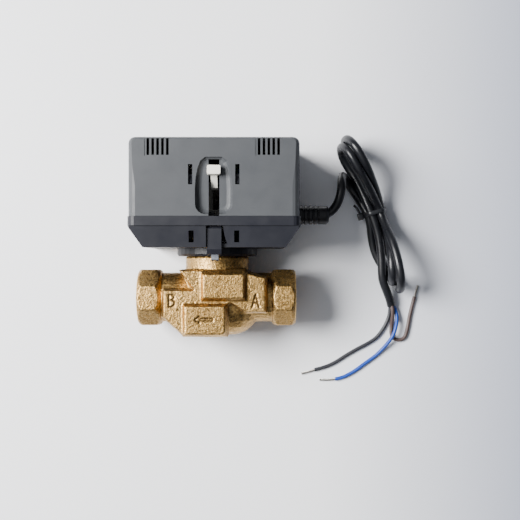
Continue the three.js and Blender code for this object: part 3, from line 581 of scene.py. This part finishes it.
def tie_band():
    """The tie's band: four rings of inner and outer points, joined all round."""
    vertices, faces = [], []
    for u in (-1.25, -0.95, 0.95, 1.25):
        trim = 0.22 if abs(u) > 1 else 0
        inside, outside = tie_outline(0.05 + trim), tie_outline(0.95 - trim)
        for (a, b), (c, d) in zip(inside, outside):
            vertices += [in_hank(u + TIE_OFFSET, a, b), in_hank(u + TIE_OFFSET, c, d)]
    ring = 2 * TIE_POINTS
    last = 3 * ring
    for i in range(0, ring, 2):
        j = (i + 2) % ring
        for a in range(0, last, ring):
            b = a + ring
            faces.append((a + i + 1, a + j + 1, b + j + 1, b + i + 1))
            faces.append((a + j, a + i, b + i, b + j))
        faces.append((i, j, j + 1, i + 1))
        faces.append((last + j, last + i, last + i + 1, last + j + 1))
    return mesh_of("band", placed(vertices), faces)


def tie_tail():
    """The tie's cut tail, which stands out past its head."""
    places = ((-2.6, -9, 9.2), (-4, -9.4, 10.2), (-5.6, -9.8, 10.6), (-7.4, -10.3, 10.4), (-8.6, -10.9, 9.8))
    strip = resampled(smooth_line(np.array(run(*places))), 0.4)
    return tube("tail", placed(strip), 0.75 * MM, 10)


def rounded_block(us, vs, zs, radius):
    """A block with rounded edges in the hank's own directions."""
    made = bmesh.new()
    corners = [made.verts.new(at(*in_hank(u, v, z))) for u in us for v in vs for z in zs]
    for face in ((0, 1, 3, 2), (4, 6, 7, 5), (0, 4, 5, 1), (2, 3, 7, 6), (0, 2, 6, 4), (1, 5, 7, 3)):
        made.faces.new([corners[i] for i in face])
    edges = list(made.edges)
    bmesh.ops.bevel(made, geom=edges, offset=radius * MM, segments=3, profile=0.5, affect="EDGES")
    mesh = bpy.data.meshes.new("block")
    made.to_mesh(mesh)
    made.free()
    return mesh


def joined(name, meshes):
    """One mesh that holds the others, unwelded."""
    vertices, faces = [], []
    for mesh in meshes:
        start = len(vertices)
        vertices += [tuple(v.co) for v in mesh.vertices]
        faces += [tuple(start + i for i in p.vertices) for p in mesh.polygons]
    return mesh_of(name, vertices, faces)


def make_lead():
    """The mains lead with its strain relief and its tie."""
    relief = strain_relief()
    gland = piece("strain_relief", relief, "black_rubber", "actuator", ["cable_gland"], 35)
    head = rounded_block((-3.3, 0.9), (-10.6, -7.4), (5.4, 9.4), 0.5)
    band = joined("tie", [tie_band(), head, tie_tail()])
    tie = piece("tie", band, "black_plastic", "actuator", ["cable_tie"], 40)
    cord_piece(
        "mains_lead",
        sheath_line,
        SHEATH,
        "black_rubber",
        "black_rubber",
        ["lead_run", "lead_hank", "lead_tail"],
        far_end="bare",
        stiffness="medium",
        lay="coiled",
        with_pieces=[gland, tie],
    )


def make_cores():
    """The three cores, each with its bare strands."""
    for name, (material, slot, route, tip) in CORES.items():
        strands = bare_end(name + "_strands", tip)
        line = resampled(smooth_line(np.array(route, float)), 0.8)
        cord_piece(
            name + "_insulation",
            line,
            CORE,
            material,
            slot,
            [name],
            16,
            far_end="bare",
            stiffness="medium",
            lay="loose",
            with_pieces=[strands],
        )


make_lead()
make_cores()


# ---------------------------------------------------------------- CAD nodes that stay

DRESSED = {
    "cover": ("cover_grey", 0.35),
    "base": ("base_slate", 0.3),
    "latch_housing": ("base_slate", 0.4),
    "lock_tongue": ("bright_steel", 0.12),
    "bayonet_collar": ("collar_slate", 0.35),
    "collar_clip": ("steel", 0.08),
    "drive_arm": ("lever_white", 0.25),
    "stem_carriage": ("lever_white", 0.3),
    "guide_bridge": ("gear_white", 0.25),
    "circuit_board": ("board_green", 0.1),
    "relay": ("relay_blue", 0.3),
    "capacitor": ("black_plastic", 0.25),
    "terminal_block": ("board_green", 0.2),
    "pivot_pin": ("steel", 0.15),
    "third_gear": ("gear_white", 0),
    "third_gear_shaft": ("steel", 0.15),
    "second_gear": ("gear_white", 0),
    "second_gear_shaft": ("steel", 0.15),
    "motor_pinion": ("steel", 0),
    "motor_rotor": ("magnet_grey", 0.2),
    "motor_coil": ("winding", 0.3),
    "motor_can": ("steel", 0.2),
    "motor_cap": ("steel", 0.2),
    "motor_plate": ("steel", 0.1),
    "gear_plate": ("steel", 0.1),
    "plate_post_1": ("steel", 0.15),
    "plate_post_2": ("steel", 0.15),
    "plate_post_3": ("steel", 0.15),
    "end_switch_up": ("black_plastic", 0.2),
    "end_switch_down": ("black_plastic", 0.2),
    "inner_lead": ("black_rubber", 0.2),
    "cartridge_cage": ("cage_grey", 0.2),
    "cage_seal": ("seal_rubber", 0.2),
    "bonnet_nut": ("turned_brass", 0.3),
    "stem_seal": ("seal_rubber", 0.2),
    "valve_stem": ("bright_steel", 0.2),
    "piston": ("gear_white", 0.25),
    "piston_seal": ("seal_rubber", 0.2),
}


def dress(name, material, edge):
    """Gives a CAD node its material and, as a modifier, the small radius of its edges."""
    node = frame["nodes"][name]
    node.data.materials.clear()
    node.data.materials.append(MATERIALS[material])
    soften(node.data, 32)
    if edge:
        bevel = node.modifiers.new("edges", "BEVEL")
        bevel.width = edge * MM
        bevel.segments = 2
        bevel.limit_method = "ANGLE"
        bevel.angle_limit = math.radians(38)
        bevel.harden_normals = True


for node_name, (material_name, edge_radius) in DRESSED.items():
    dress(node_name, material_name, edge_radius)


# ---------------------------------------------------------------- cast valve body


def remeshed(name, voxel, smoothing):
    """A voxel copy of a CAD node, with the edges rounded by smoothing."""
    source = frame["nodes"][name]
    thing = bpy.data.objects.new("work", source.data.copy())
    bpy.context.scene.collection.objects.link(thing)
    remesh = thing.modifiers.new("remesh", "REMESH")
    remesh.mode = "VOXEL"
    remesh.voxel_size = voxel * MM
    smooth = thing.modifiers.new("smooth", "SMOOTH")
    smooth.factor = 0.5
    smooth.iterations = smoothing
    bpy.context.view_layer.update()
    mesh = bpy.data.meshes.new_from_object(thing.evaluated_get(bpy.context.evaluated_depsgraph_get()))
    bpy.data.objects.remove(thing)
    return mesh


def segments_distance(x, y, segments):
    best = np.full(len(x), 1e9)
    for ax, ay, bx, by in segments:
        dx, dy = bx - ax, by - ay
        t = np.clip(((x - ax) * dx + (y - ay) * dy) / (dx * dx + dy * dy), 0, 1)
        best = np.minimum(best, np.hypot(x - ax - t * dx, y - ay - t * dy))
    return best


def chain(*points, closed=False):
    points = list(points) + ([points[0]] if closed else [])
    return [(*a, *b) for a, b in zip(points, points[1:])]


LETTER_B = (
    chain((-26.2, -4.7), (-26.2, 2.0))
    + chain((-26.2, 2.0), (-24.3, 2.0), (-23.4, 1.2), (-23.4, 0.1), (-24.3, -0.9), (-26.2, -1.0))
    + chain((-24.3, -0.9), (-23.1, -1.8), (-22.9, -3.2), (-23.8, -4.4), (-26.2, -4.7))
)
LETTER_A = chain((20.7, -4.8), (22.6, 2.1), (24.4, -4.8)) + chain((21.3, -2.5), (23.8, -2.5))
ARROW = chain(
    (-11.5, -11.9), (-9.0, -10.1), (-9.0, -11.2), (-1.5, -11.2), (-1.5, -12.6), (-9.0, -12.6), (-9.0, -13.7),
    closed=True,
)


def casting():
    mesh = remeshed("valve_body", 0.42, 3)
    count = len(mesh.vertices)
    place = np.zeros(count * 3)
    mesh.vertices.foreach_get("co", place)
    place = place.reshape(-1, 3)
    normal = np.zeros(count * 3)
    mesh.vertices.foreach_get("normal", normal)
    normal = normal.reshape(-1, 3)
    x, y, z = place[:, 0] / MM, place[:, 1] / MM + ORIGIN_Y, place[:, 2] / MM - STEM_Z
    from_stem = np.hypot(x, z)
    from_pipe = np.hypot(y, z)
    seat = (from_stem < 15.2) & (y > 4)
    bore = (from_pipe < 13.2) & (np.abs(x) > 30) & (np.abs(x) < 45.6)
    inside = (from_pipe < 11) | ((from_stem < 10.6) & (np.abs(y) < 15))
    face = (np.abs(x) > 45.0) & (from_pipe < 16.2)
    cast = ~(seat | bore | inside | face)
    lumps = np.array([noise.fractal(Vector(p) * 95, 0.7, 2.0, 3) for p in place])
    grit = np.array([noise.noise(Vector(p) * 900) for p in place])
    pits = np.array([noise.noise(Vector(p) * 1700 + Vector((3, 1, 2))) for p in place])
    offset = np.where(cast, 0.05 * lumps + 0.1 * grit + 0.06 * pits, 0.0)
    pad = (np.abs(z) > 19.6) & (np.abs(normal[:, 2]) > 0.6)
    front = z > 0
    letters = segments_distance(x, y, LETTER_B + LETTER_A)
    arrow = segments_distance(x, y, ARROW)
    near = np.where(z > 22.4, arrow, letters)
    # How deep the letters and arrow are cut; the brass material also paints shade along these grooves by
    # this value.
    groove_and_shade = np.where(pad & front, np.clip(1 - (near - 0.25) / 0.45, 0, 1), 0)
    offset -= 0.4 * groove_and_shade
    turns = np.where(bore & (from_pipe > 11.4), np.cos(2 * math.pi * (x / 1.814) + np.arctan2(z, y)), 0)
    offset += 0.42 * turns * np.clip((45.0 - np.abs(x)) / 1.2, 0, 1) * (np.abs(x) > 34)
    moved = place + normal * (np.clip(offset, -0.6, 0.5) * MM)[:, None]
    limit_low, limit_high = (np.array(corner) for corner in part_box("valve_body"))
    moved = np.clip(moved, limit_low, limit_high)
    mesh.vertices.foreach_set("co", moved.ravel())
    # Painted shade in the pits, read by the brass material.
    pit_shade = np.clip(-(grit + pits) * 1.2, 0, 1) * cast
    for key, values in (("groove_and_shade", groove_and_shade), ("pit_shade", pit_shade)):
        layer = mesh.attributes.new(key, "FLOAT", "POINT")
        layer.data.foreach_set("value", values.astype(np.float32))
    mesh.update()
    made = piece("valve_casting", mesh, "cast_brass", "valve", ["valve_body"], 60)
    mesh.materials.append(MATERIALS["turned_brass"])
    machined_here = (seat | bore | face).astype(np.float64)
    for polygon in mesh.polygons:
        share = sum(machined_here[i] for i in polygon.vertices) / len(polygon.vertices)
        polygon.material_index = 1 if share > 0.5 else 0
    return made


casting()


# ---------------------------------------------------------------- floor and light


def floor():
    n = Nodes("floor")
    cloud = n.noise(3, 3, 0.5)
    across = n.add("ShaderNodeSeparateXYZ", {"Vector": n.place}).outputs["X"]
    near = n.ramp(cloud, (0.3, srgb(242, 243, 246)), (0.7, srgb(246, 247, 250)))
    # The floor turns darker and bluer towards +X: painted shade for the light falling off to the right.
    n.set(
        Base_Color=n.mix(n.range(across, 0.0, 1.0, 0.06, 0.2), near, srgb(163, 169, 186)),
        Roughness=0.6,
        Normal=n.bump(n.noise(500, 2), 0.02 * MM, 0.2),
    )
    mesh = mesh_of("floor", [(-3, -3, 0), (3, -3, 0), (3, 3, 0), (-3, 3, 0)], [(0, 1, 2, 3)])
    mesh.materials.append(n.material)
    thing = bpy.data.objects.new("floor", mesh)
    bpy.context.scene.collection.objects.link(thing)


def area_light(name, location, target, size, power, colour=(1, 1, 1)):
    data = bpy.data.lights.new(name, "AREA")
    data.shape = "DISK"
    data.size = size
    data.energy = power
    data.color = colour
    thing = bpy.data.objects.new(name, data)
    thing.location = location
    thing.rotation_mode = "QUATERNION"
    thing.rotation_quaternion = (Vector(target) - Vector(location)).to_track_quat("-Z", "Y")
    bpy.context.scene.collection.objects.link(thing)


BACKDROP = srgb(206, 208, 214)


def world():
    """Bright overhead and to the left, dim towards the horizon and the right, behind a pale backdrop."""
    made = bpy.data.worlds.new("world")
    bpy.context.scene.world = made
    made.use_nodes = True
    tree = made.node_tree
    place = tree.nodes.new("ShaderNodeTexCoord")
    split = tree.nodes.new("ShaderNodeSeparateXYZ")
    tree.links.new(place.outputs["Generated"], split.inputs[0])
    ramp = tree.nodes.new("ShaderNodeValToRGB")
    ramp.color_ramp.elements[0].position = 0.46
    ramp.color_ramp.elements[0].color = (0.05, 0.052, 0.06, 1)
    ramp.color_ramp.elements[1].position = 0.95
    ramp.color_ramp.elements[1].color = (0.9, 0.93, 1.0, 1)
    tree.links.new(split.outputs["Z"], ramp.inputs["Fac"])
    side = tree.nodes.new("ShaderNodeMapRange")
    for name, value in {"From Min": -0.9, "From Max": 0.7, "To Min": 0.8, "To Max": 0.2}.items():
        side.inputs[name].default_value = value
    tree.links.new(split.outputs["X"], side.inputs["Value"])
    light = tree.nodes["Background"]
    tree.links.new(ramp.outputs["Color"], light.inputs["Color"])
    tree.links.new(side.outputs["Result"], light.inputs["Strength"])
    backdrop = tree.nodes.new("ShaderNodeBackground")
    backdrop.inputs["Color"].default_value = BACKDROP
    seen = tree.nodes.new("ShaderNodeLightPath")
    choice = tree.nodes.new("ShaderNodeMixShader")
    tree.links.new(seen.outputs["Is Camera Ray"], choice.inputs[0])
    tree.links.new(light.outputs[0], choice.inputs[1])
    tree.links.new(backdrop.outputs[0], choice.inputs[2])
    tree.links.new(choice.outputs[0], tree.nodes["World Output"].inputs["Surface"])


floor()
world()
area_light("key", (-0.9, 0.24, 0.93), (0.02, 0, 0.02), 0.75, 66, (1.0, 0.995, 0.985))
area_light("fill", (-0.55, -0.6, 1.0), (0, 0, 0), 0.9, 1, (0.94, 0.96, 1.0))
